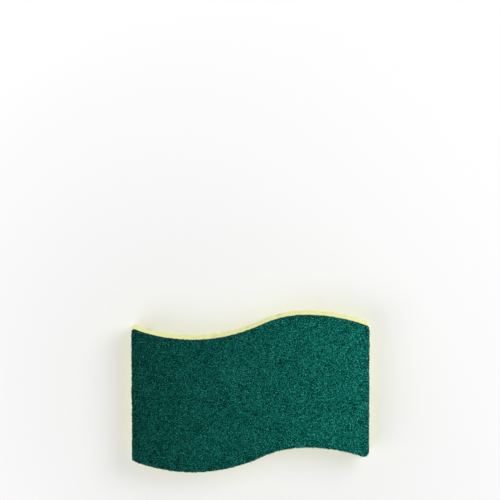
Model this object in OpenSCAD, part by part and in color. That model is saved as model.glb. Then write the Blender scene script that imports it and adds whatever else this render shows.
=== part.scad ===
// Two-layer cleaning sponge: an open-celled foam body with a scouring pad bonded to its upper face.
// It lies foam side down. X runs along its length, Y across it and Z up through the layers.
// Both layers are cut together with a wave-shaped knife, so each wavy edge would nest in the next sponge's.

/* [Outline] */
// Length from end to end
length = 114.3; // [100:0.1:135]
// Distance between the two wavy edges, across the sponge
cut_width = 64.8; // [50:0.1:90]
// Height of the wave, from its low point to its high point
wave_depth = 12.2; // [9:0.1:14]
// Where the low point of the wave lies along the length
low_x = -27.9; // [-34:0.1:-24]
// Where the high point of the wave lies along the length
high_x = 26.4; // [24:0.1:34]
// Radius of the wave round its low point
low_r = 78; // [65:0.5:85]
// Radius of the wave from its high point to the right-hand end
end_r = 86; // [70:0.5:120]
// Radius of the two corners at the left-hand end
left_corner_r = 1.2; // [0.9:0.1:8]
// Radius of the two corners at the right-hand end
right_corner_r = 2.4; // [0.9:0.1:8]

/* [Layers] */
// Thickness of the foam body
foam_t = 11.2; // [8:0.1:24]
// Thickness of the scouring pad
pad_t = 4; // [2:0.1:8]
// Radius of the pad's upper rim, rolled over by the knife
pad_rim_r = 0.7; // [0.3:0.05:0.85]

/* [Foam pores] */
// Narrowest pore
pore_d_min = 1.6; // [1:0.1:2.4]
// Widest pore
pore_d_max = 4.4; // [2.6:0.1:4.6]
// Distance between neighbouring pores in the underside
face_pore_pitch = 7.3; // [6:0.1:16]
// Distance between neighbouring pores round the cut side
side_pore_pitch = 5.3; // [5.2:0.1:12]
// Least wall of foam left between two pores, or above them
pore_wall = 0.5; // [0.3:0.05:0.6]
// How far a pore may be squashed to an oval, as a part of its width
pore_squash = 0.4; // [0:0.05:0.6]
// How uneven a pore is round its mouth, as a part of its width
pore_unevenness = 0.25; // [0:0.05:0.4]
// Share of the side's pores that open through the lower rim too
rim_pore_share = 0.4; // [0:0.05:1]

/* [Hidden] */

// Longest straight step along the wave, and the steps round a corner
chord = 2.4;
corner_steps = 6;
// Steps in the quarter turn of the pad's rim
rim_steps = 3;
// How far a pore in the underside has its centre above it, as a part of its radius
pore_sink = 0.3;
// How far a pore round the side has its centre outside the cut, as a part of its radius
side_pore_rise = 0.1;
// Where the cut side turns more sharply than this, there is no pore
pore_turn_limit = 45;
// Corners round a pore, and rings of them between its two tips
pore_corners = 7;
pore_rings = 3;

right_x = length / 2;
left_x = -right_x;
// The outline is centred across Y on its two outermost points
low_y = -(cut_width + wave_depth) / 2;
high_y = low_y + wave_depth;

// The wave's first arc hangs under its centre. The second rises from it without a kink, which sets its
// radius, and the third goes on from the high point with the same upright tangent.
wave_run = high_x - low_x;
high_r = (wave_run * wave_run + wave_depth * wave_depth) / (2 * wave_depth) - low_r;
low_centre = [low_x, low_y + low_r];
high_centre = [high_x, high_y - high_r];
end_centre = [high_x, high_y - end_r];
// Direction from the first centre to the second, and where the two arcs join
join_angle = atan2(high_centre.y - low_centre.y, high_centre.x - low_centre.x);
join_x = low_x + low_r * cos(join_angle);

// Height of the lower edge at x
function wave_y(x) =
    x < join_x ? low_centre.y - sqrt(pow(low_r, 2) - pow(x - low_x, 2))
    : x < high_x ? high_centre.y + sqrt(pow(high_r, 2) - pow(x - high_x, 2))
    : end_centre.y + sqrt(pow(end_r, 2) - pow(x - high_x, 2));

// Centre of a corner: its circle touches the end at x and lies at reach from an arc's centre, above or below it
function corner_centre(x, centre, reach, side) =
    [x, centre.y + side * sqrt(pow(reach, 2) - pow(x - centre.x, 2))];

function angle_from(a, b) = atan2(b.y - a.y, b.x - a.x);

// Points of an arc from one angle to another, but not its last, which the next arc starts with
function arc(centre, radius, from, to, steps) = [
    for (i = [0:steps - 1])
        let (a = from + (to - from) * i / steps)
        centre + radius * [cos(a), sin(a)]
];

// A corner, with its last point
function corner(centre, radius, from, to) =
    concat(arc(centre, radius, from, to, corner_steps), [centre + radius * [cos(to), sin(to)]]);

// An arc that follows a corner leaves out its first point, which the corner ends with
function trimmed(points) = [for (i = [1:len(points) - 1]) points[i]];

// The wave has as many steps along the upper edge as along the lower
left_steps = ceil((low_x - left_x) / chord);
fall_steps = ceil((join_x - low_x) / chord);
rise_steps = ceil((high_x - join_x) / chord);
right_steps = ceil((right_x - high_x) / chord);

// The outline, counterclockwise from the lower left corner, moved inwards by inset
function outline(inset) =
    let (
        up = [0, cut_width],
        ll = corner_centre(left_x + left_corner_r, low_centre, low_r - left_corner_r, -1),
        ul = corner_centre(left_x + left_corner_r, low_centre + up, low_r + left_corner_r, -1),
        lr = corner_centre(right_x - right_corner_r, end_centre, end_r + right_corner_r, 1),
        ur = corner_centre(right_x - right_corner_r, end_centre + up, end_r - right_corner_r, 1),
        ll_angle = angle_from(low_centre, ll),
        lr_angle = angle_from(end_centre, lr),
        ur_angle = angle_from(end_centre + up, ur),
        ul_angle = angle_from(low_centre + up, ul)
    )
    concat(
        corner(ll, left_corner_r - inset, -180, ll_angle),
        trimmed(arc(low_centre, low_r - inset, ll_angle, -90, left_steps)),
        arc(low_centre, low_r - inset, -90, join_angle, fall_steps),
        arc(high_centre, high_r + inset, join_angle + 180, 90, rise_steps),
        arc(end_centre, end_r + inset, 90, lr_angle, right_steps),
        corner(lr, right_corner_r - inset, lr_angle - 180, 0),
        corner(ur, right_corner_r - inset, 0, ur_angle),
        trimmed(arc(end_centre + up, end_r - inset, ur_angle, 90, right_steps)),
        arc(high_centre + up, high_r - inset, 90, join_angle + 180, rise_steps),
        arc(low_centre + up, low_r + inset, join_angle, -90, fall_steps),
        arc(low_centre + up, low_r + inset, -90, ul_angle, left_steps),
        corner(ul, left_corner_r - inset, ul_angle + 180, 180)
    );

// A number from 0 to 1 that looks random and is always the same for the same i, j and seed
function chance(i, j, seed) =
    let (v = 43758.5453 * sin(127.1 * i + 311.7 * j + 74.7 * seed))
    v - floor(v);

// Radius that a pore's corners stay within
function pore_r(i, j, seed) = (pore_d_min + (pore_d_max - pore_d_min) * pow(chance(i, j, seed), 1.6)) / 2;

// A foam cell: a closed, uneven blob whose corners lie within r of its middle
module pore(r, i, j, seed) {
    squash = 1 - pore_squash * chance(i, j, seed + 1);
    turn = 360 * chance(i, j, seed + 2);
    reach = [for (m = [0:pore_corners - 1]) r * (1 - pore_unevenness * chance(i + 7 * m, j, seed + 3))];
    last = pore_corners * pore_rings;
    points = concat(
        [
            for (k = [1:pore_rings], m = [0:pore_corners - 1])
                let (up = 180 * k / (pore_rings + 1) - 90, a = 360 * m / pore_corners)
                [reach[m] * cos(up) * cos(a), reach[m] * cos(up) * sin(a) * squash, r * sin(up)]
        ],
        [[0, 0, -r], [0, 0, r]]
    );
    faces = [
        for (m = [0:pore_corners - 1])
            let (n = (m + 1) % pore_corners)
            each concat(
                [for (k = [0:pore_rings - 2])
                    let (o = k * pore_corners)
                    each [[o + m, o + pore_corners + m, o + n], [o + n, o + pore_corners + m, o + pore_corners + n]]],
                [[last, m, n], [last + 1, last - pore_corners + n, last - pore_corners + m]]
            )
    ];
    rotate([0, 0, turn])
        polyhedron(points, faces);
}

// Length walked along the outline up to each of its points
function walked(points) = [
    for (i = 0, s = 0; i <= len(points); s = s + norm(points[(i + 1) % len(points)] - points[i % len(points)]), i = i + 1) s
];

// Place and outward direction on the outline after walking a length s
function on_outline(points, lengths, s) =
    let (
        i = max([for (k = [0:len(points) - 1]) if (lengths[k] <= s) k]),
        a = points[i],
        b = points[(i + 1) % len(points)],
        along = (b - a) / norm(b - a)
    )
    [a + along * (s - lengths[i]), [along.y, -along.x]];

// Hollow cells that the underside cuts open, scattered about a staggered grid
module face_pores() {
    margin = 2.5 * pore_d_max / 2 + 2 * pore_wall;
    columns = floor(length / face_pore_pitch / 2) + 1;
    rows = floor((cut_width + wave_depth) / face_pore_pitch / 2) + 1;
    for (i = [-columns:columns], j = [-rows:rows]) {
        r = pore_r(i, j, 40);
        // Each pore stays inside its own cell of the grid
        scatter = (face_pore_pitch - pore_wall) / 2 - r;
        x = (i + (j % 2 == 0 ? 0.25 : -0.25)) * face_pore_pitch + scatter * (2 * chance(i, j, 50) - 1);
        y = j * face_pore_pitch + scatter * (2 * chance(i, j, 60) - 1);
        if (abs(x) < right_x - margin && y > wave_y(x) + margin && y < wave_y(x) + cut_width - margin)
            translate([x, y, pore_sink * r])
                pore(r, i, j, 40);
    }
}

// Cells that the knife cuts open, some of which also open through the lower rim
module side_pores() {
    points = outline(0);
    lengths = walked(points);
    count = floor(lengths[len(points)] / side_pore_pitch);
    pitch = lengths[len(points)] / count;
    for (i = [0:count - 1]) {
        r = pore_r(i, 0, 70);
        // Each pore stays inside its own stretch of the outline
        scatter = (pitch - pore_wall) / 2 - r;
        s = (i + 0.5) * pitch + scatter * (2 * chance(i, 0, 90) - 1);
        place = on_outline(points, lengths, s);
        before = on_outline(points, lengths, s - r)[1];
        after = on_outline(points, lengths, s + r)[1];
        lowest = r + pore_wall;
        height = lowest + (foam_t - 2 * lowest) * chance(i, 0, 80);
        z = chance(i, 0, 100) < rim_pore_share ? -side_pore_rise * r : height;
        at = place[0] + side_pore_rise * r * place[1];
        if (before * after > cos(pore_turn_limit))
            translate([at.x, at.y, z])
                pore(r, i, 0, 70);
    }
}

module foam_body() {
    color("khaki")
        difference() {
            linear_extrude(foam_t)
                polygon(outline(0));
            face_pores();
            side_pores();
        }
}

// A slab lofted through rings of the outline, which turn in over the rim
module scouring_pad() {
    rings = concat(
        [[0, foam_t]],
        [for (k = [0:rim_steps])
            let (turn = 90 * k / rim_steps)
            [pad_rim_r * (1 - cos(turn)), foam_t + pad_t - pad_rim_r * (1 - sin(turn))]]
    );
    n = len(outline(0));
    points = [for (ring = rings, p = outline(ring[0])) [p.x, p.y, ring[1]]];
    last = (len(rings) - 1) * n;
    sides = [
        for (k = [0:len(rings) - 2], i = [0:n - 1])
            let (j = (i + 1) % n)
            [k * n + i, (k + 1) * n + i, (k + 1) * n + j, k * n + j]
    ];
    // Strips across the slab, each from a step of the lower edge to the same step of the upper
    bottom = [for (i = [0:n / 2 - 2]) [i, i + 1, n - 2 - i, n - 1 - i]];
    top = [for (i = [0:n / 2 - 2]) [last + n - 1 - i, last + n - 2 - i, last + i + 1, last + i]];
    color("darkgreen")
        polyhedron(points, concat(sides, bottom, top));
}

foam_body();
scouring_pad();
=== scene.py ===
"""Looks of a two-layer cleaning sponge: open-celled foam under a mat of resin-bonded fibres.

Lengths are in millimetres up to the point where a mesh is made, and angles are in radians.
"""
import math

import bpy
import numpy as np
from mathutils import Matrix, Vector, noise
from mathutils.geometry import delaunay_2d_cdt


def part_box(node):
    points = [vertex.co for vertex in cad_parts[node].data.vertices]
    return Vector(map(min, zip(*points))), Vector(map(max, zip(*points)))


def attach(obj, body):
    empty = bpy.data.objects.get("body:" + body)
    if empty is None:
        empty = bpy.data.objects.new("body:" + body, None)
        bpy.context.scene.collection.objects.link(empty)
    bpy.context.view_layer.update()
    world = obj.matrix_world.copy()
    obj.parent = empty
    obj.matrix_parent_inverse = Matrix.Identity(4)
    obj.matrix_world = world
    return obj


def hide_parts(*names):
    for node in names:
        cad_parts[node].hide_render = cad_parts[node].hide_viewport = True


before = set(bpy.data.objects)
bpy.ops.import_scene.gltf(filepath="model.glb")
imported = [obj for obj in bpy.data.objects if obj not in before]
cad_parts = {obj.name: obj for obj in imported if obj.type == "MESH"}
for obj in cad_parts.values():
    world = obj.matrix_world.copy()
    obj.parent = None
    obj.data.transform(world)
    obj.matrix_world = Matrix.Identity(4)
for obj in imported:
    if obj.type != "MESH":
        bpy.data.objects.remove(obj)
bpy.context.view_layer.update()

MM = 0.001
UP = np.array([0.0, 0.0, 1.0])

# The layers, read from the frame
foam_low, foam_high = (np.array(corner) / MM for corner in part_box("foam_body"))
pad_low, pad_high = (np.array(corner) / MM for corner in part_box("scouring_pad"))
FOAM_T = foam_high[2]
PAD_TOP = pad_high[2]

# Open cells that the CAD foam has too: its rule, with its values, puts them in the same places
PORE_D_MIN = 1.6
PORE_D_MAX = 4.4
PORE_D_POWER = 1.6
PORE_WALL = 0.5
PORE_SQUASH = 0.4
PORE_UNEVENNESS = 0.25
PORE_CORNERS = 7
PORE_CORNER_STEP = 7
PORE_SINK = 0.3
FACE_PORE_PITCH = 7.3
FACE_PORE_STAGGER = 0.25
FACE_PORE_COLUMNS = range(-10, 11)
FACE_PORE_ROWS = range(-8, 9)
FACE_PORE_MARGIN = 2.5 * PORE_D_MAX / 2 + 2 * PORE_WALL
FACE_PORE_MARGIN_SHARE = 0.95
SIDE_PORE_PITCH = 5.3
SIDE_PORE_SINK = 0.05
RIM_PORE_SHARE = 0.4
PORE_TURN_LIMIT = math.radians(45)

# The seeds of that rule: the first of a pore's own four, and one for each of its places
FACE_PORE_SEED = 40
FACE_X_SEED = 50
FACE_Y_SEED = 60
SIDE_PORE_SEED = 70
SIDE_Z_SEED = 80
SIDE_S_SEED = 90
RIM_SEED = 100

# The ragged edge of a large pore's mouth, and its waves as (share, waves round it, phase per mm)
PORE_RAGGED = 0.07
RAGGED_WAVES = ((0.6, 5, 30), (0.4, 8, 70))

# Finer cells, which only the dressed foam has: widest, narrowest, how many are tried per mm2
MEDIUM_CELLS = (2.2, 0.8, 2.0)
SMALL_CELLS = (0.8, 0.36, 12.0)
MEDIUM_SHARE_UNDERNEATH = 0.2
SMALL_SHARE_UNDERNEATH = 0.06
FINE_D_POWER = 2.2
FINE_CORNERS = 5
FINE_UNEVENNESS = 0.4
FINE_SQUASH = 0.5
FINE_SINK = 0.5
CELL_WALL = 0.12
CELL_WALL_SPREAD = 0.2

# How finely cells are meshed: points round the mouth, and rings from there to the bottom
FACE_PORE_MESH = (20, 4)
SIDE_PORE_MESH = (24, 4)
RIM_PORE_MESH = (12, 5)
FACE_MEDIUM_MESH = (10, 2)
SIDE_MEDIUM_MESH = (11, 3)
SMALL_MESH = (7, 1)

# How far fine cells stay from the edges of the surface that they are cut in
FACE_CLEARANCE = 0.35
LOWER_CLEARANCE = 0.3
UPPER_CLEARANCE = 0.25
SEAM_CLEARANCE = 0.3
FINE_TURN_LIMIT = 1.2

# The cut side's waist: its depth, its roundness, and waves as (share, waves round it, phase)
WAIST_DEPTH = 0.22
WAIST_POWER = 0.7
WAIST_EVEN_SHARE = 0.5
WAIST_WAVES = ((0.3, 9, 0), (0.2, 23, 1))

# The foam's plain mesh: where the cut side's map starts and ends, and its points' spacing
SEAM_AT_PORE = 6
RIM_SPACING = 0.7
UPPER_SPACING = 0.9
SIDE_SPACING = 1.1
FACE_SPACING = 1.7
FOAM_SHARP = math.radians(50)
NOTCH_SHADE = 0.8

# The scouring pad's web, with lumps as (size, seed, height)
RIM_R = 0.7
WEB_DROP = 0.33
WEB_INSET = 0.2
WEB_SPACING = 0.55
WEB_SIDE_LUMPS = ((0.8, 3, 0.1), (2.5, 4, 0.08))
WEB_TOP_LUMPS = ((0.9, 5, 0.12), (4.0, 6, 0.06))
WEB_SHARP = math.radians(80)

# The fibres on it
FIBRE_D = 0.17
FIBRE_SIDES = 3
CURL_SPREAD = 0.7
CURL_GROWTH = 0.55

# How many fibres and grains of resin there are
TOP_LAYERS = 2
FIBRES_PER_LAYER = 2700
EDGE_FIBRES = 4200
GRAINS = 4500

# Seeds of the random draws
FOAM_SEED = 11
TOP_SEED = 21
EDGE_SEED = 31
GRAIN_SEED = 41

# The floor's white, the distances between which it fades into the world, and the world's light
FLOOR = 0.93
FADE_FROM = 75
FADE_TO = 190
SOFT_LIGHT = 0.6


def chance(i, j, seed):
    """A number from 0 to 1 that looks random, by the rule that the CAD foam uses."""
    v = 43758.5453 * math.sin(math.radians(127.1 * i + 311.7 * j + 74.7 * seed))
    return v - math.floor(v)


def outline_of(node, height):
    """Corners of a CAD node's outline at one height, counterclockwise."""
    same_height = 0.01
    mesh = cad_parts[node].data
    co = np.empty(len(mesh.vertices) * 3)
    mesh.vertices.foreach_get("co", co)
    co = co.reshape(-1, 3) / MM
    level = co[np.abs(co[:, 2] - height) < same_height][:, :2]
    level = np.unique(np.round(level, 3), axis=0)
    return level[np.argsort(np.arctan2(level[:, 1], level[:, 0]))]


class Rim:
    """The outline as a closed curve, walked by its length s."""

    def __init__(self, corners):
        self.closed = np.vstack([corners, corners[:1]])
        steps = np.linalg.norm(np.diff(self.closed, axis=0), axis=1)
        self.walked = np.concatenate([[0.0], np.cumsum(steps)])
        self.total = self.walked[-1]

    def at(self, s):
        s = np.mod(s, self.total)
        return np.stack([np.interp(s, self.walked, self.closed[:, k]) for k in (0, 1)], axis=-1)

    def inward(self, s, reach=0.5):
        along = self.at(s + reach) - self.at(s - reach)
        along /= np.linalg.norm(along, axis=-1, keepdims=True)
        return np.stack([-along[..., 1], along[..., 0]], axis=-1)

    def place(self, s, depth, z):
        """Points at a depth inside the cut side, and at a height z."""
        s, depth, z = np.broadcast_arrays(s, depth, z)
        flat = self.at(s) + self.inward(s) * depth[..., None]
        return np.concatenate([flat, z[..., None]], axis=-1)

    def turn(self, s, reach):
        """How far the outline turns over twice a short reach."""
        a, b = self.inward(s - reach), self.inward(s + reach)
        return np.arccos(np.clip((a * b).sum(-1), -1, 1))


class EdgeMap:
    """Distance from the outline, positive inside, looked up on a grid."""

    STEP = 0.25
    MARGIN = 3.0
    SAMPLE = 0.3

    def __init__(self, rim):
        s = np.arange(0, rim.total, self.SAMPLE)
        samples, inward = rim.at(s), rim.inward(s)
        self.low = samples.min(0) - self.MARGIN
        shape = np.ceil((samples.max(0) + self.MARGIN - self.low) / self.STEP).astype(int) + 1
        x = self.low[0] + self.STEP * np.arange(shape[0])
        y = self.low[1] + self.STEP * np.arange(shape[1])
        self.grid = np.empty(shape)
        for i, xi in enumerate(x):
            away = np.stack([xi - samples[:, 0, None] + 0 * y, y - samples[:, 1, None]], axis=-1)
            reach = np.hypot(away[..., 0], away[..., 1])
            near = reach.argmin(0)
            pick = np.arange(len(y))
            side = (away[near, pick] * inward[near]).sum(-1)
            self.grid[i] = np.where(side >= 0, 1, -1) * reach[near, pick]

    def __call__(self, x, y):
        last = 1.001
        u = np.clip((x - self.low[0]) / self.STEP, 0, self.grid.shape[0] - last)
        v = np.clip((y - self.low[1]) / self.STEP, 0, self.grid.shape[1] - last)
        i, j = u.astype(int), v.astype(int)
        a, b = u - i, v - j
        g = self.grid
        lower = g[i, j] * (1 - a) + g[i + 1, j] * a
        upper = g[i, j + 1] * (1 - a) + g[i + 1, j + 1] * a
        return lower * (1 - b) + upper * b


rim = Rim(outline_of("scouring_pad", FOAM_T))
edge = EdgeMap(rim)


def lumps(points, size, seed):
    """Smooth noise from about -1 to 1 at each point, with lumps of a size."""
    shift = Vector((seed * 17.3, seed * 5.1, seed * 9.7))
    return np.array([noise.noise(Vector(p) / size + shift) for p in points])


def roughness(points, layers):
    """The sum of layers of lumps, each of them (size, seed, height)."""
    return sum(lumps(points, size, seed) * height for size, seed, height in layers)


def raised(flat, z):
    """Flat points lifted to a height z."""
    return np.column_stack([flat, np.zeros(len(flat)) + z])


class MeshBuilder:
    """Patches of a surface, welded into one mesh where their points coincide."""

    def __init__(self):
        self.points = []
        self.depths = []
        self.triangles = []
        self.count = 0

    def add(self, points, triangles, depths=None):
        self.points.append(np.asarray(points, float))
        self.depths.append(np.zeros(len(points)) if depths is None else np.asarray(depths, float))
        self.triangles.append(np.asarray(triangles, int) + self.count)
        self.count += len(points)

    def build(self, name, attribute, sharp):
        points = np.concatenate(self.points)
        depths = np.concatenate(self.depths)
        triangles = np.concatenate(self.triangles)
        first, same = np.unique(
            np.round(points, 3), axis=0, return_index=True, return_inverse=True)[1:]
        triangles = same.ravel()[triangles]
        whole = (triangles[:, 0] != triangles[:, 1]) & (triangles[:, 1] != triangles[:, 2])
        triangles = triangles[whole & (triangles[:, 0] != triangles[:, 2])]
        return mesh_object(name, points[first], triangles, attribute, depths[first], sharp)


def mesh_object(name, points, triangles, attribute, values, sharp=None):
    """A mesh object from arrays, with a named value at each vertex, and sharp past an angle."""
    mesh = bpy.data.meshes.new(name)
    mesh.vertices.add(len(points))
    mesh.vertices.foreach_set("co", (np.asarray(points) * MM).astype(np.float32).ravel())
    mesh.loops.add(len(triangles) * 3)
    mesh.loops.foreach_set("vertex_index", np.asarray(triangles, np.int32).ravel())
    mesh.polygons.add(len(triangles))
    starts = np.arange(0, len(triangles) * 3, 3, dtype=np.int32)
    mesh.polygons.foreach_set("loop_start", starts)
    mesh.polygons.foreach_set("use_smooth", np.ones(len(triangles), bool))
    layer = mesh.attributes.new(attribute, "FLOAT", "POINT")
    layer.data.foreach_set("value", np.asarray(values, np.float32))
    mesh.update(calc_edges=True)
    mesh.validate()
    if sharp:
        mesh.set_sharp_from_angle(angle=sharp)
    piece = bpy.data.objects.new(name, mesh)
    bpy.context.scene.collection.objects.link(piece)
    return piece


def strip(a, b, n):
    """The two triangles between points a and b of a ring and those n places on, in the next."""
    return [(a, b, b + n), (a, b + n, a + n)]


# Foam


class Cell:
    """One open cell: its middle on a flat map of the surface, its mouth and how it goes down."""

    def __init__(self, at, radius, reaches, squash, turn, sink, mesh, half=False, ragged=0.0):
        steps, self.rings = mesh
        self.at, self.radius, self.sink = np.array(at, float), radius, sink
        corners = len(reaches)
        a = np.linspace(0, math.pi, steps + 1) if half else np.arange(steps) * 2 * math.pi / steps
        turned = np.mod((a - turn) / (2 * math.pi) * corners, corners)
        k = turned.astype(int) % corners
        blend = (1 - np.cos(math.pi * (turned - np.floor(turned)))) / 2
        reaches = np.asarray(reaches)
        reach = reaches[k] * (1 - blend) + reaches[(k + 1) % corners] * blend
        oval = 1 / np.hypot(np.cos(a - turn), np.sin(a - turn) / squash)
        if half:
            reach = 1 + (reach - 1) * np.sin(a)
            oval = 1 + (oval - 1) * np.sin(a)
        waves = sum(share * np.sin(n * a + phase * radius) for share, n, phase in RAGGED_WAVES)
        reach = reach * (1 + ragged * waves)
        mouth = radius * math.cos(math.asin(sink))
        self.contour = (mouth * reach * oval)[:, None] * np.stack([np.cos(a), np.sin(a)], axis=-1)

    def mouth(self):
        return self.at + self.contour

    def levels(self):
        """Each ring's width as a part of the mouth's, and its depth."""
        start = -math.asin(self.sink)
        turns = start + (math.pi / 2 - start) * np.arange(self.rings + 1) / self.rings
        return np.cos(turns) / math.cos(start), self.radius * (np.sin(turns) - math.sin(start))

    def holds(self, p):
        """Whether a point on the flat map lies well inside the mouth."""
        inner_share = 0.98
        n = len(self.contour)
        away = p - self.at
        a = math.atan2(away[1], away[0]) % (2 * math.pi)
        k = a / (2 * math.pi) * n
        i = int(k) % n
        reach = np.linalg.norm(self.contour[i]) * (1 - k % 1)
        reach += np.linalg.norm(self.contour[(i + 1) % n]) * (k % 1)
        return math.hypot(*away) < reach * inner_share


class Scatter:
    """Keeps round cells apart on a flat map, with a wall between any two."""

    SQUARE = 3.0
    NEAR = range(-2, 3)

    def __init__(self):
        self.squares = {}

    def square(self, x, y):
        return int(x // self.SQUARE), int(y // self.SQUARE)

    def add(self, x, y, r):
        self.squares.setdefault(self.square(x, y), []).append((x, y, r))

    def clear(self, x, y, r, wall):
        i, j = self.square(x, y)
        return all(
            (x - px) ** 2 + (y - py) ** 2 > (r + pr + wall) ** 2
            for di in self.NEAR
            for dj in self.NEAR
            for px, py, pr in self.squares.get((i + di, j + dj), ())
        )


def cad_pore(i, j, seed):
    """Radius, mouth reaches, squash and turn of a CAD pore."""
    r = (PORE_D_MIN + (PORE_D_MAX - PORE_D_MIN) * chance(i, j, seed) ** PORE_D_POWER) / 2
    squash = 1 - PORE_SQUASH * chance(i, j, seed + 1)
    turn = 2 * math.pi * chance(i, j, seed + 2)
    reaches = [
        1 - PORE_UNEVENNESS * chance(i + PORE_CORNER_STEP * m, j, seed + 3)
        for m in range(PORE_CORNERS)
    ]
    return r, reaches, squash, turn


def big_face_cells():
    """The underside's pores, where the CAD foam has them."""
    cells = []
    for i in FACE_PORE_COLUMNS:
        for j in FACE_PORE_ROWS:
            r, reaches, squash, turn = cad_pore(i, j, FACE_PORE_SEED)
            spread = (FACE_PORE_PITCH - PORE_WALL) / 2 - r
            stagger = FACE_PORE_STAGGER if j % 2 == 0 else -FACE_PORE_STAGGER
            x = (i + stagger) * FACE_PORE_PITCH + spread * (2 * chance(i, j, FACE_X_SEED) - 1)
            y = j * FACE_PORE_PITCH + spread * (2 * chance(i, j, FACE_Y_SEED) - 1)
            inside = edge(np.array(x), np.array(y)) > FACE_PORE_MARGIN * FACE_PORE_MARGIN_SHARE
            if abs(x) < foam_high[0] - FACE_PORE_MARGIN and inside:
                cells.append(Cell((x, y), r, reaches, squash, turn, PORE_SINK, FACE_PORE_MESH,
                                  ragged=PORE_RAGGED))
    return cells


def big_side_cells(start):
    """The cut side's pores, where the CAD foam has them: whole ones, and half ones in its rim."""
    whole, halves = [], []
    count = int(rim.total / SIDE_PORE_PITCH)
    pitch = rim.total / count
    for i in range(count):
        r, reaches, squash, turn = cad_pore(i, 0, SIDE_PORE_SEED)
        spread = (pitch - PORE_WALL) / 2 - r
        s = (i + 0.5) * pitch + spread * (2 * chance(i, 0, SIDE_S_SEED) - 1)
        if rim.turn(s, r) > PORE_TURN_LIMIT:
            continue
        s = start + (s - start) % rim.total
        if chance(i, 0, RIM_SEED) < RIM_PORE_SHARE:
            halves.append(Cell((s, 0), r, reaches, 1.0, 0.0, 0.0, RIM_PORE_MESH, half=True))
        else:
            lowest = r + PORE_WALL
            z = lowest + (FOAM_T - 2 * lowest) * chance(i, 0, SIDE_Z_SEED)
            inward = rim.inward(s)
            turn -= math.atan2(-inward[0], inward[1])
            width = math.hypot(math.cos(turn), squash * math.sin(turn))
            whole.append(Cell((s, z), r, reaches, width, math.pi / 2, SIDE_PORE_SINK,
                              SIDE_PORE_MESH, ragged=PORE_RAGGED))
    return whole, halves


def fine_cells(scatter, sample, fits, sizes, area, mesh, rng):
    """Smaller cells thrown onto a flat map, each kept where it clears the others."""
    widest, narrowest, density = sizes
    cells = []
    for _ in range(int(area * density)):
        x, y = sample()
        r = (narrowest + (widest - narrowest) * rng.random() ** FINE_D_POWER) / 2
        if fits(x, y, r) and scatter.clear(x, y, r, CELL_WALL + CELL_WALL_SPREAD * rng.random()):
            reaches = 1 - FINE_UNEVENNESS * rng.random(FINE_CORNERS)
            squash = 1 - FINE_SQUASH * rng.random()
            turn = 2 * math.pi * rng.random()
            sink = FINE_SINK * rng.random()
            cells.append(Cell((x, y), r, reaches, squash, turn, sink, mesh))
            scatter.add(x, y, r)
    return cells


def foam_cells(start):
    """Cells of the underside and of the cut side, a scatter of each, and the rim's half cells."""
    rng = np.random.default_rng(FOAM_SEED)
    face_scatter, side_scatter = Scatter(), Scatter()
    face_cells = big_face_cells()
    side_cells, halves = big_side_cells(start)
    for c in face_cells:
        face_scatter.add(*c.at, c.radius)
    for c in halves:
        face_scatter.add(*rim.at(c.at[0]), c.radius)
    for c in side_cells + halves:
        side_scatter.add(*c.at, c.radius)

    def sample_face():
        return rng.uniform(foam_low[:2], foam_high[:2])

    def fits_face(x, y, r):
        return edge(np.array(x), np.array(y)) > r + FACE_CLEARANCE

    def sample_side():
        return rng.uniform((start, 0), (start + rim.total, FOAM_T))

    def fits_side(s, z, r):
        return (
            r + LOWER_CLEARANCE < z < FOAM_T - r - UPPER_CLEARANCE
            and start + r + SEAM_CLEARANCE < s < start + rim.total - r - SEAM_CLEARANCE
            and rim.turn(s, r + SEAM_CLEARANCE) < FINE_TURN_LIMIT
        )

    area = (foam_high - foam_low)[:2].prod()
    for sizes, share, mesh in ((MEDIUM_CELLS, MEDIUM_SHARE_UNDERNEATH, FACE_MEDIUM_MESH),
                               (SMALL_CELLS, SMALL_SHARE_UNDERNEATH, SMALL_MESH)):
        face_cells += fine_cells(
            face_scatter, sample_face, fits_face, sizes, area * share, mesh, rng)
    area = rim.total * FOAM_T
    for sizes, mesh in ((MEDIUM_CELLS, SIDE_MEDIUM_MESH), (SMALL_CELLS, SMALL_MESH)):
        side_cells += fine_cells(side_scatter, sample_side, fits_side, sizes, area, mesh, rng)
    return face_cells, face_scatter, side_cells, side_scatter, halves


def land(loop, cells=(), filler=()):
    """Triangles between a closed loop of points and the cells' mouths: all points, and faces."""
    points, edges, owner = [], [], []
    for c, ring in enumerate([loop] + [cell.mouth() for cell in cells], start=-1):
        n = len(points)
        points += list(ring)
        owner += [c] * len(ring)
        edges += [(n + i, n + (i + 1) % len(ring)) for i in range(len(ring))]
    points += list(filler)
    owner += [-1] * len(filler)
    found = delaunay_2d_cdt([Vector(p) for p in points], edges, [], 1, 1e-5)
    kept = np.array([points[ids[0]] if ids else tuple(v) for v, ids in zip(found[0], found[3])])
    owners = [owner[ids[0]] if ids else -1 for ids in found[3]]
    faces = []
    for f in found[2]:
        c = owners[f[0]]
        if c >= 0 and all(owners[v] == c for v in f) and cells[c].holds(kept[list(f)].mean(0)):
            continue
        faces.append(f)
    return kept, np.array(faces)


def bowl(cell, to_space):
    """Points and triangles of the hollow under a cell's mouth, and how deep each point lies."""
    widths, depths = cell.levels()
    points, deep = [], []
    for w, d in zip(widths[:-1], depths[:-1]):
        points.append(to_space(cell.at + cell.contour * w, d))
        deep.append(np.full(len(cell.contour), d))
    points.append(to_space(cell.at[None, :], depths[-1]))
    deep.append([depths[-1]])
    n, bottom = len(cell.contour), len(cell.contour) * cell.rings
    triangles = []
    for k in range(cell.rings):
        for i in range(n):
            a, b = k * n + i, k * n + (i + 1) % n
            triangles += [(a, b, bottom)] if k == cell.rings - 1 else strip(a, b, n)
    return np.concatenate(points), np.array(triangles), np.concatenate(deep)


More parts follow.
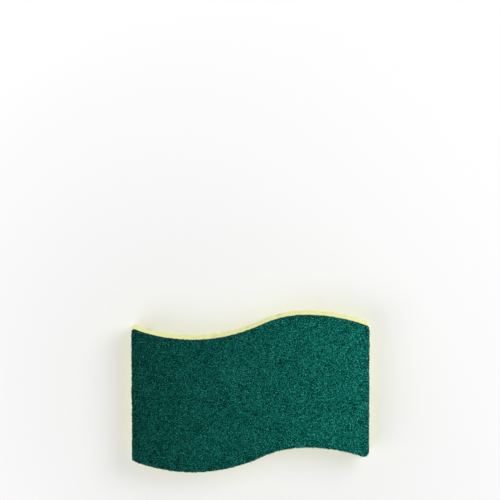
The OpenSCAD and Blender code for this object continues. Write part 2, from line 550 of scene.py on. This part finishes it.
def waist(s, z):
    """How far the cut side has shrunk back between its two edges."""
    free = np.sin(np.pi * np.clip(z / FOAM_T, 0, 1)) ** WAIST_POWER
    round_it = s / rim.total * 2 * np.pi
    wave = WAIST_EVEN_SHARE
    for share, waves, phase in WAIST_WAVES:
        wave = wave + share * np.sin(round_it * waves + phase)
    return WAIST_DEPTH * free * wave


def rim_notch(cell):
    """The hollow of a cell that opens through the lower rim, from the underside to the cut side."""
    turns = np.linspace(0, math.pi / 2, cell.rings + 1)
    along, out = cell.contour[:, 0], cell.contour[:, 1]
    s = cell.at[0] - along
    points = []
    for t in turns:
        z = out * math.sin(t)
        points.append(rim.place(s, out * math.cos(t) + waist(s, z), z))
    n = len(along)
    triangles = []
    for k in range(cell.rings):
        for i in range(n - 1):
            triangles += strip(k * n + i, k * n + i + 1, n)
    deep = np.tile(out, cell.rings + 1) * NOTCH_SHADE
    return np.concatenate(points), np.array(triangles), deep


def lower_rim(halves, start):
    """The lower rim, from start all the way round: pairs of (places, None) or (None, cell)."""
    stretches = []
    s, end = start, start + rim.total
    for cell in sorted(halves, key=lambda c: (c.at[0] - start) % rim.total):
        s0 = start + (cell.at[0] - start) % rim.total
        a, b = s0 - cell.contour[0, 0], s0 - cell.contour[-1, 0]
        n = max(1, int((a - s) / RIM_SPACING))
        stretches.append((np.linspace(s, a, n + 1)[:-1], None))
        stretches.append((None, cell))
        s = b
    n = max(1, int((end - s) / RIM_SPACING))
    stretches.append((np.linspace(s, end, n + 1), None))
    return stretches


def foam():
    """The foam body: a cut side and an underside full of open cells, and a plain face on top."""
    start = -SEAM_AT_PORE * rim.total / int(rim.total / SIDE_PORE_PITCH)
    end = start + rim.total
    face_cells, face_scatter, side_cells, side_scatter, halves = foam_cells(start)

    body = MeshBuilder()
    under, cut = [], []
    for places, cell in lower_rim(halves, start):
        if cell is None:
            under.append(rim.at(places))
            cut.append(np.stack([places, 0 * places], axis=-1))
        else:
            along, out = cell.contour[:, 0], cell.contour[:, 1]
            s = cell.at[0] - along
            under.append(rim.place(s, out, 0 * out)[:-1, :2])
            cut.append(np.stack([s, out], axis=-1)[:-1])
            body.add(*rim_notch(cell))

    # The cut side, on its map of s and z
    grid_s = np.arange(start + 0.9, end - 0.5, SIDE_SPACING)
    grid_z = np.arange(0.9, FOAM_T - 0.4, SIDE_SPACING)
    top_s = np.linspace(start, end, int(rim.total / UPPER_SPACING))
    loop = np.concatenate([
        np.concatenate(cut),
        np.stack([np.full(len(grid_z), end), grid_z], axis=-1),
        np.stack([top_s[::-1], np.full(len(top_s), FOAM_T)], axis=-1),
        np.stack([np.full(len(grid_z), start), grid_z[::-1]], axis=-1),
    ])
    point_r, side_wall, face_wall, face_inset = 0.1, 0.15, 0.2, 0.6
    filler = [
        (s, z) for s in grid_s for z in grid_z if side_scatter.clear(s, z, point_r, side_wall)
    ]
    points, faces = land(loop, side_cells, filler)

    def on_side(p, d):
        return rim.place(p[:, 0], waist(p[:, 0], p[:, 1]) + d, p[:, 1])

    body.add(on_side(points, 0.0), faces)
    for c in side_cells:
        body.add(*bowl(c, on_side))

    # The underside
    filler = [
        (x, y)
        for x in np.arange(foam_low[0], foam_high[0], FACE_SPACING)
        for y in np.arange(foam_low[1], foam_high[1], FACE_SPACING)
        if edge(np.array(x), np.array(y)) > face_inset
        and face_scatter.clear(x, y, point_r, face_wall)
    ]
    points, faces = land(np.concatenate(under)[:-1], face_cells, filler)
    body.add(raised(points, 0.0), faces[:, ::-1])
    for c in face_cells:
        points, faces, deep = bowl(c, raised)
        body.add(points, faces[:, ::-1], deep)

    # The face under the pad
    points, faces = land(rim.at(top_s[:-1]))
    body.add(raised(points, FOAM_T), faces)
    # cell_depth holds how deep each point lies, which the foam material turns into painted shade
    return body.build("foam_layer", "cell_depth", FOAM_SHARP)


# Scouring pad


def rim_drop(e):
    """How far the pad's top falls at a distance e from its edge, over its rounded rim."""
    t = np.clip(1 - e / RIM_R, 0, 1)
    return RIM_R * (1 - np.sqrt(1 - t**2))


def web():
    """The dense web that the top fibres lie on, which its material paints dark as shade under them:
    lumpy above and round its side.
    """
    body = MeshBuilder()
    step, top = WEB_SPACING, PAD_TOP - WEB_DROP
    count = int(rim.total / step)
    s = np.arange(count) * rim.total / count
    side_z = np.arange(FOAM_T, top - RIM_R, step)
    turns = np.linspace(0, math.pi / 2, 4)
    depths = np.concatenate([
        np.full(len(side_z), WEB_INSET), WEB_INSET + RIM_R * (1 - np.cos(turns))])
    heights = np.concatenate([side_z, top - RIM_R * (1 - np.sin(turns))])
    rings = [rim.place(s, d, np.full(count, z)) for d, z in zip(depths, heights)]
    for ring in rings[1:]:
        ring[:, :2] -= rim.inward(s) * roughness(ring, WEB_SIDE_LUMPS)[:, None]
    triangles = []
    for k in range(len(rings) - 1):
        for i in range(count):
            triangles += strip(k * count + i, k * count + (i + 1) % count, count)
    body.add(np.concatenate(rings), triangles)

    row_share, ring_gap, fade_gap, fade = 0.87, 0.4, 0.25, 0.6
    grid = np.array([
        (x + (0.5 * step if k % 2 else 0), y)
        for k, y in enumerate(np.arange(pad_low[1], pad_high[1], step * row_share))
        for x in np.arange(pad_low[0], pad_high[0], step)
    ])
    grid = grid[edge(grid[:, 0], grid[:, 1]) > WEB_INSET + RIM_R + ring_gap * step]
    flat, faces = land(rings[-1][:, :2], filler=grid)
    rise = roughness(raised(flat, 0.0), WEB_TOP_LUMPS)
    rise *= np.clip((edge(flat[:, 0], flat[:, 1]) - WEB_INSET - RIM_R - fade_gap) / fade, 0, 1)
    body.add(raised(flat, top + rise), faces)
    flat, faces = land(rings[0][:, :2])
    body.add(raised(flat, FOAM_T), faces[:, ::-1])
    return body.build("pad_web", "tone", WEB_SHARP)


def walks(starts, headings, steps, step, bend, rng):
    """Wandering flat paths: an array of fibres, each with its points."""
    n = len(starts)
    curl = np.cumsum(rng.normal(0, bend * CURL_SPREAD, (n, steps)), axis=1) * CURL_GROWTH
    curl = curl + rng.normal(0, bend, (n, 1))
    heading = headings[:, None] + np.cumsum(curl, axis=1) * step
    moves = step * np.stack([np.cos(heading), np.sin(heading)], axis=-1)
    moved = np.concatenate([np.zeros((n, 1, 2)), np.cumsum(moves, axis=1)], axis=1)
    return starts[:, None, :] + moved


def tubes(name, paths, kept, radii, tones):
    """Closed tubes along the kept leading part of each path."""
    along = np.gradient(paths, axis=1)
    along /= np.linalg.norm(along, axis=-1, keepdims=True)
    side = np.cross(along, UP)
    side /= np.linalg.norm(side, axis=-1, keepdims=True) + 1e-12
    over = np.cross(side, along)
    turns = 2 * math.pi * (np.arange(FIBRE_SIDES) / FIBRE_SIDES + 0.25)
    across, upward = np.cos(turns)[:, None], np.sin(turns)[:, None]
    ring = across * side[..., None, :] + upward * over[..., None, :]
    points = paths[..., None, :] + ring * radii[:, None, None, None]
    n, m = paths.shape[:2]
    index = np.arange(n * m * FIBRE_SIDES).reshape(n, m, FIBRE_SIDES)
    faces = []
    segment = kept[:, 1:]
    for k in range(FIBRE_SIDES):
        j = (k + 1) % FIBRE_SIDES
        a, b = index[:, :-1, k][segment], index[:, :-1, j][segment]
        c, d = index[:, 1:, j][segment], index[:, 1:, k][segment]
        faces += [np.stack([a, b, c], axis=-1), np.stack([a, c, d], axis=-1)]
    last = kept.sum(axis=1) - 1
    whole = last > 0
    faces.append(index[whole, 0][:, ::-1])
    faces.append(index[whole, last[whole]])
    used, faces = np.unique(np.concatenate(faces)[:, ::-1], return_inverse=True)
    tone = np.repeat(tones, m * FIBRE_SIDES)[used]
    return mesh_object(name, points.reshape(-1, 3)[used], faces.reshape(-1, 3), "tone", tone)


def laid(name, paths, z, overhangs, thickness, rng):
    """Tubes along flat paths at heights z, each cut off where it overhangs the outline."""
    inside = edge(paths[..., 0], paths[..., 1]) > -overhangs[:, None]
    kept = np.logical_and.accumulate(inside, axis=1)
    radii = FIBRE_D / 2 * rng.uniform(*thickness, len(paths))
    paths = np.concatenate([paths, z[..., None]], axis=-1)
    return tubes(name, paths, kept, radii, rng.random(len(paths)))


def starts_inside(count, spare, inset, rng):
    """Random places on the pad that lie some way inside its outline."""
    places = rng.uniform(pad_low[:2], pad_high[:2], (int(count * spare), 2))
    return places[edge(places[:, 0], places[:, 1]) > inset][:count]


def top_fibres(name, count, seed):
    """A layer of the mat's top: long fibres lying nearly flat, dipping over the rim."""
    steps, step, bend = 11, 0.95, 0.28
    lowest, highest = -0.34, 0.06
    wave_height, slowest, fastest = 0.09, 0.5, 1.1
    above_foam, overhang, overhang_power = 0.3, 0.2, 1.5
    rng = np.random.default_rng(seed)
    starts = starts_inside(count, 1.25, 0.1, rng)
    n = len(starts)
    paths = walks(starts, rng.uniform(0, 2 * math.pi, n), steps, step, bend, rng)
    level = PAD_TOP - FIBRE_D / 2 + rng.uniform(lowest, highest, n)
    phase = rng.uniform(0, 6.3, (n, 1))
    speed = rng.uniform(slowest, fastest, (n, 1))
    wave = wave_height * np.sin(phase + np.arange(steps + 1) * speed)
    z = level[:, None] + wave - rim_drop(edge(paths[..., 0], paths[..., 1]))
    z = np.maximum(z, FOAM_T + above_foam)
    overhangs = rng.uniform(0.0, overhang, n) ** overhang_power
    return laid(name, paths, z, overhangs, (0.75, 1.35), rng)


def edge_fibres(name, count, seed):
    """Fibres that the knife laid bare round the pad's side, some cut off short."""
    steps, step, bend = 6, 0.6, 0.35
    shallowest, deepest = 0.02, 0.8
    least_turn, most_turn = 0.2, 1.75
    lowest, highest, slant = FOAM_T + 0.12, PAD_TOP - 0.25, 0.22
    bottom, top = FOAM_T + 0.1, PAD_TOP - 0.05
    overhang, overhang_power = 0.28, 1.3
    rng = np.random.default_rng(seed)
    s = rng.uniform(0, rim.total, count)
    depth = rng.uniform(shallowest, deepest, count)
    inward = rim.inward(s)
    starts = rim.at(s) + inward * depth[:, None]
    out = np.arctan2(-inward[:, 1], -inward[:, 0])
    headings = out + rng.choice([-1, 1], count) * rng.uniform(least_turn, most_turn, count)
    paths = walks(starts, headings, steps, step, bend, rng)
    level = rng.uniform(lowest, highest, count)
    slope = rng.normal(0, slant, (count, 1)) * np.arange(steps + 1) * step
    z = np.clip(level[:, None] + slope, bottom, top)
    z = np.minimum(z, PAD_TOP - rim_drop(edge(paths[..., 0], paths[..., 1])))
    overhangs = rng.uniform(0.0, overhang, count) ** overhang_power
    return laid(name, paths, z, overhangs, (0.75, 1.15), rng)


def icosahedron():
    """Twelve corners at a distance of 1, and twenty outward faces."""
    golden = (1 + math.sqrt(5)) / 2
    longer_than_an_edge = 1.2
    corners = np.array([(x, y * golden, 0.0) for x in (-1, 1) for y in (-1, 1)])
    corners = np.concatenate([np.roll(corners, k, axis=1) for k in range(3)])
    corners = corners / math.hypot(1, golden)
    n = len(corners)
    faces = []
    for a, b, c in ((a, b, c) for a in range(n) for b in range(a + 1, n) for c in range(a + 1, n)):
        sides = corners[[a, b, c]] - corners[[b, c, a]]
        if b != c and np.linalg.norm(sides, axis=1).max() < longer_than_an_edge:
            if np.linalg.det(corners[[a, b, c]]) > 0:
                faces.append((a, b, c))
    return corners, np.array(faces)


def grains(name, count, seed):
    """Blobs of abrasive resin that sit on the mat's top and round its rim."""
    smallest, largest = 0.1, 0.23
    flattest, fullest, flattening = 0.65, 1.25, 0.8
    shallowest, deepest = 0.08, 0.42
    rng = np.random.default_rng(seed)
    corners, faces = icosahedron()
    places = starts_inside(count, 1.3, 0.12, rng)
    n, m = len(places), len(corners)
    size = rng.uniform(smallest, largest, (n, 1, 1))
    uneven = rng.uniform(flattest, fullest, (n, m, 1))
    shape = corners[None] * size * uneven * np.array([1.0, 1.0, flattening])
    z = PAD_TOP - rim_drop(edge(places[:, 0], places[:, 1])) - rng.uniform(shallowest, deepest, n)
    points = np.column_stack([places, z])[:, None, :] + shape
    faces = faces[None] + m * np.arange(n)[:, None, None]
    tone = np.repeat(rng.random(n), m)
    return mesh_object(name, points.reshape(-1, 3), faces.reshape(-1, 3), "tone", tone)


# Materials

# Colours as 0 to 255 in sRGB, and ramps of (place, colour)
FOAM_SKIN = ((0.3, (248, 248, 174)), (0.5, (252, 255, 192)), (0.72, (255, 255, 208)))
# Painted shade in the fine cells' pits
FOAM_FINE_PIT_SHADE = (229, 219, 134)
# Painted shade deep in the hollows
FOAM_HOLLOW_SHADE = (238, 226, 142)
# Painted shade seen through the windows deep in the hollows
FOAM_WINDOW_SHADE = (196, 174, 88)
# Greens along the speckle: the darkest stops are painted shade in the voids, the palest are painted
# highlights
FIBRE_GREENS = ((0.08, (0, 10, 5)), (0.3, (0, 46, 38)), (0.52, (0, 108, 94)),
                (0.73, (22, 168, 152)), (0.92, (106, 244, 226)))
GRAIN_GREENS = ((0.1, (0, 26, 20)), (0.5, (0, 106, 93)), (0.8, (44, 174, 158)),
                (0.95, (130, 238, 221)))
# The web's greens, darker than the fibres' as painted shade under them
WEB_SHADE_GREENS = ((0.1, (0, 8, 4)), (0.4, (0, 36, 29)), (0.7, (0, 90, 78)), (0.95, (24, 140, 126)))

# Sizes of the texture's cells and lumps
FOAM_MOTTLE = 2.2
FOAM_FINE_CELL = 0.42
FOAM_WINDOW_CELL = 0.95
SPECKLE_LUMP = 0.42
SPECKLE_FLECK = 0.3

# The pad's green from its sharp-cornered end to the other, darker to paler as painted light from
# the key lamp's side, and darker on its rim and cut side as painted shade
PAINTED_SHADE_END = 0.57
PAINTED_LIGHT_END = 1.31
PAINTED_RIM_SHADE = 0.6
RIM_SHADE_FULL_BELOW = PAD_TOP - 0.95
RIM_SHADE_NONE_ABOVE = PAD_TOP - 0.4

# Sockets of a colour Mix node, whose names repeat
MIX_FACTOR, MIX_A, MIX_B, MIX_RESULT = 0, 6, 7, 2


def srgb(colour):
    """A colour written as 0 to 255 in sRGB, as the linear values that a node takes."""
    def linear(c):
        c /= 255
        return c / 12.92 if c <= 0.04045 else ((c + 0.055) / 1.055) ** 2.4
    return (*(linear(c) for c in colour), 1.0)


class Nodes:
    """Short calls for making a material's nodes."""

    def __init__(self, name):
        self.material = bpy.data.materials.new(name)
        self.material.use_nodes = True
        self.tree = self.material.node_tree
        self.shader = self.tree.nodes["Principled BSDF"]

    def add(self, kind, **values):
        node = self.tree.nodes.new(kind)
        for key, value in values.items():
            setattr(node, key, value)
        return node

    def link(self, a, b):
        self.tree.links.new(a, b)

    def set(self, socket, value):
        if isinstance(value, (int, float, tuple)):
            socket.default_value = value
        else:
            self.link(value, socket)

    def place(self):
        return self.add("ShaderNodeTexCoord").outputs["Object"]

    def noise(self, size, detail, roughness):
        """Smooth noise with lumps of a size."""
        node = self.add("ShaderNodeTexNoise")
        node.inputs["Scale"].default_value = 1 / (size * MM)
        node.inputs["Detail"].default_value = detail
        node.inputs["Roughness"].default_value = roughness
        self.link(self.place(), node.inputs["Vector"])
        return node.outputs["Fac"]

    def cells(self, size):
        """Packed cells of a size: a random value for each, and the distance from its middle."""
        node = self.add("ShaderNodeTexVoronoi")
        node.inputs["Scale"].default_value = 1 / (size * MM)
        self.link(self.place(), node.inputs["Vector"])
        split = self.add("ShaderNodeSeparateColor")
        self.link(node.outputs["Color"], split.inputs["Color"])
        return split.outputs["Red"], node.outputs["Distance"]

    def along(self, axis, low, high, to_low, to_high):
        """A value that changes evenly along an axis, between two places."""
        split = self.add("ShaderNodeSeparateXYZ")
        self.link(self.place(), split.inputs["Vector"])
        return self.scaled(split.outputs[axis], low * MM, high * MM, to_low, to_high)

    def total(self, *shares):
        """The sum of some values, each times its share."""
        total = 0.0
        for value, share in shares:
            node = self.add("ShaderNodeMath", operation="MULTIPLY_ADD")
            self.link(value, node.inputs[0])
            node.inputs[1].default_value = share
            self.set(node.inputs[2], total)
            total = node.outputs[0]
        return total

    def attribute(self, name):
        return self.add("ShaderNodeAttribute", attribute_name=name).outputs["Fac"]

    def ramp(self, value, stops):
        """Colours along a value, from stops of (place, sRGB colour)."""
        node = self.add("ShaderNodeValToRGB")
        elements = node.color_ramp.elements
        while len(elements) < len(stops):
            elements.new(0.5)
        for element, (place, colour) in zip(elements, stops):
            element.position = place
            element.color = srgb(colour)
        self.link(value, node.inputs["Fac"])
        return node.outputs["Color"]

    def mix(self, amount, a, b, kind="MIX"):
        node = self.add("ShaderNodeMix", data_type="RGBA", blend_type=kind)
        self.set(node.inputs[MIX_FACTOR], amount)
        self.set(node.inputs[MIX_A], a)
        self.set(node.inputs[MIX_B], b)
        return node.outputs[MIX_RESULT]

    def scaled(self, value, low, high, to_low=0.0, to_high=1.0):
        node = self.add("ShaderNodeMapRange")
        self.link(value, node.inputs["Value"])
        ranges = {"From Min": low, "From Max": high, "To Min": to_low, "To Max": to_high}
        for key, number in ranges.items():
            node.inputs[key].default_value = number
        return node.outputs["Result"]

    def bump(self, height, strength, distance):
        node = self.add("ShaderNodeBump")
        node.inputs["Strength"].default_value = strength
        node.inputs["Distance"].default_value = distance * MM
        self.link(height, node.inputs["Height"])
        self.link(node.outputs["Normal"], self.shader.inputs["Normal"])

    def finish(self, colour, roughness, gloss):
        self.set(self.shader.inputs["Base Color"], colour)
        self.shader.inputs["Roughness"].default_value = roughness
        self.shader.inputs["Specular IOR Level"].default_value = gloss
        return self.material


def foam_material():
    """Pale yellow skin with fine darker cells, deeper yellow hollows, and windows in them, each
    darker as painted shade of a pit or hollow.
    """
    n = Nodes("yellow_foam")
    skin = n.ramp(n.noise(FOAM_MOTTLE, 4.0, 0.6), FOAM_SKIN)
    fine_away = n.cells(FOAM_FINE_CELL)[1]
    window_away = n.cells(FOAM_WINDOW_CELL)[1]
    depth = n.attribute("cell_depth")
    # Painted shade: darker towards the middle of each fine cell, where the bump sinks it
    colour = n.mix(n.scaled(fine_away, 0.0, 0.45, 0.55, 0.0), skin, srgb(FOAM_FINE_PIT_SHADE))
    # Painted shade: the hollows turn deeper yellow the deeper they lie
    colour = n.mix(n.scaled(depth, 0.0, 1.6, 0.0, 0.7), colour, srgb(FOAM_HOLLOW_SHADE))
    # Painted shade: darker amber spots, windows into further cells, only where the hollows are deep
    window = n.total((window_away, -1.0), (n.scaled(depth, 0.1, 0.9), 0.34))
    colour = n.mix(n.scaled(window, -0.1, 0.12, 0.0, 0.85), colour, srgb(FOAM_WINDOW_SHADE))
    n.bump(n.total((window_away, 0.5), (fine_away, 1.0)), 0.6, 0.2)
    return n.finish(colour, 0.9, 0.15)


def grit_and_painted_speckle(n):
    """Fine strong speckle from 0 to 1, mostly soft, with some hard-edged flecks: partly the mat's
    own uneven tone, partly painted shade in its voids and painted highlights on its fibres.
    """
    soft = n.scaled(n.noise(SPECKLE_LUMP, 1.5, 0.55), 0.37, 0.63)
    return n.total((soft, 0.7), (n.cells(SPECKLE_FLECK)[0], 0.3))


def pad_colour(n, value, greens):
    """The pad's green along a value: paler towards the rounder corners as painted light, and darker
    on the rim and cut side as painted shade.
    """
    # Painted light: the green darkens towards the low-x end and pales towards the high-x end, where
    # the key lamp stands
    painted_light_lengthwise = n.along("X", pad_low[0], pad_high[0], PAINTED_SHADE_END, PAINTED_LIGHT_END)
    # Painted shade: the green darkens from a little under the top, down over the rounded rim and
    # the cut side
    upward = n.along("Z", RIM_SHADE_FULL_BELOW, RIM_SHADE_NONE_ABOVE, PAINTED_RIM_SHADE, 1.0)
    green = n.mix(1.0, n.ramp(value, greens), painted_light_lengthwise, "MULTIPLY")
    return n.mix(1.0, green, upward, "MULTIPLY")


def fibre_material():
    n = Nodes("green_fibre")
    value = n.total((grit_and_painted_speckle(n), 0.9), (n.attribute("tone"), 0.1))
    n.bump(n.noise(0.12, 2.0, 0.5), 0.4, 0.03)
    return n.finish(pad_colour(n, value, FIBRE_GREENS), 0.8, 0.06)


def grain_material():
    n = Nodes("green_resin_grain")
    value = n.total((grit_and_painted_speckle(n), 0.65), (n.attribute("tone"), 0.35))
    return n.finish(pad_colour(n, value, GRAIN_GREENS), 0.65, 0.1)


def web_material():
    n = Nodes("green_web")
    n.bump(n.noise(0.3, 3.0, 0.6), 0.8, 0.2)
    # Painted shade: the web takes darker greens than the fibres lying over it
    return n.finish(pad_colour(n, grit_and_painted_speckle(n), WEB_SHADE_GREENS), 0.85, 0.05)


# Scene


def seen_directly(tree):
    """A value that is 1 for the rays that show a surface: camera, glossy and transmission."""
    path = tree.nodes.new("ShaderNodeLightPath")
    seen = path.outputs["Is Camera Ray"]
    for kind in ("Is Glossy Ray", "Is Transmission Ray"):
        either = tree.nodes.new("ShaderNodeMath")
        either.operation = "MAXIMUM"
        tree.links.new(seen, either.inputs[0])
        tree.links.new(path.outputs[kind], either.inputs[1])
        seen = either.outputs[0]
    return seen


def white_floor():
    """A white floor that keeps the shadow and fades into the white world."""
    half = 30.0
    corners = [(-half, -half, 0), (half, -half, 0), (half, half, 0), (-half, half, 0)]
    mesh = bpy.data.meshes.new("floor")
    mesh.from_pydata(corners, [], [(0, 1, 2, 3)])
    floor = bpy.data.objects.new("floor", mesh)
    bpy.context.scene.collection.objects.link(floor)
    n = Nodes("floor_white")
    away = n.add("ShaderNodeVectorMath", operation="LENGTH")
    n.link(n.place(), away.inputs[0])
    both = n.add("ShaderNodeMath", operation="MULTIPLY")
    n.link(n.scaled(away.outputs["Value"], FADE_FROM * MM, FADE_TO * MM), both.inputs[0])
    n.link(seen_directly(n.tree), both.inputs[1])
    white = n.add("ShaderNodeEmission")
    blend = n.add("ShaderNodeMixShader")
    n.link(both.outputs[0], blend.inputs[0])
    n.link(n.shader.outputs[0], blend.inputs[1])
    n.link(white.outputs[0], blend.inputs[2])
    n.link(blend.outputs[0], n.tree.nodes["Material Output"].inputs["Surface"])
    mesh.materials.append(n.finish((FLOOR, FLOOR, FLOOR, 1), 0.95, 0.0))


def soft_world():
    """A world that looks white, and lights the scene less strongly than that."""
    world = bpy.data.worlds.new("studio")
    bpy.context.scene.world = world
    world.use_nodes = True
    tree = world.node_tree
    background = tree.nodes["Background"]
    background.inputs["Color"].default_value = (1, 1, 1, 1)
    strength = tree.nodes.new("ShaderNodeMapRange")
    strength.inputs["To Min"].default_value = SOFT_LIGHT
    strength.inputs["To Max"].default_value = 1.0
    tree.links.new(seen_directly(tree), strength.inputs["Value"])
    tree.links.new(strength.outputs["Result"], background.inputs["Strength"])


def area_light(name, place, size, power):
    """A round lamp at a place in metres, turned towards the sponge."""
    lamp = bpy.data.lights.new(name, "AREA")
    lamp.shape = "DISK"
    lamp.size = size
    lamp.energy = power
    holder = bpy.data.objects.new(name, lamp)
    holder.location = place
    holder.rotation_mode = "QUATERNION"
    holder.rotation_quaternion = (-Vector(place)).to_track_quat("-Z", "Y")
    bpy.context.scene.collection.objects.link(holder)


def camera():
    """A long lens above the sponge, tilted so that the far cut side just shows."""
    picture, sensor = 500, 36
    distance = 1600 * MM
    pixel = 0.4804 * MM
    tilt = math.radians(9.3)
    below_middle = 144.75 * pixel
    right_of_middle = 0.5 * pixel
    down = Vector((0, -math.sin(tilt), -math.cos(tilt)))
    picture_up = Vector((0, math.cos(tilt), -math.sin(tilt)))
    target = Vector((0, 0, PAD_TOP * MM))
    data = bpy.data.cameras.new("camera")
    data.sensor_width = sensor
    data.lens = sensor * distance / (picture * pixel)
    holder = bpy.data.objects.new("camera", data)
    holder.location = target - down * distance + picture_up * below_middle
    holder.location.x -= right_of_middle
    holder.rotation_euler = (-tilt, 0, 0)
    bpy.context.scene.collection.objects.link(holder)
    bpy.context.scene.camera = holder


def wear(piece, material, node):
    """Gives a piece its material and its place in the frame."""
    piece.data.materials.append(material)
    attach(piece, "root")
    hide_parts(node)


def wear_on_pad(piece, material):
    wear(piece, material, "scouring_pad")


camera()
white_floor()
soft_world()
area_light("key", place=(0.32, 0.26, 0.42), size=0.4, power=1.15)
area_light("fill", place=(-0.45, -0.28, 0.6), size=0.7, power=1.7)
wear(foam(), foam_material(), "foam_body")
wear_on_pad(web(), web_material())
fibres = fibre_material()
for layer in range(TOP_LAYERS):
    piece = top_fibres(f"pad_fibres_{layer + 1}", FIBRES_PER_LAYER, TOP_SEED + layer)
    wear_on_pad(piece, fibres)
wear_on_pad(edge_fibres("pad_edge_fibres", EDGE_FIBRES, EDGE_SEED), fibres)
wear_on_pad(grains("pad_grains", GRAINS, GRAIN_SEED), grain_material())

bpy.context.scene.view_settings.view_transform = "Standard"
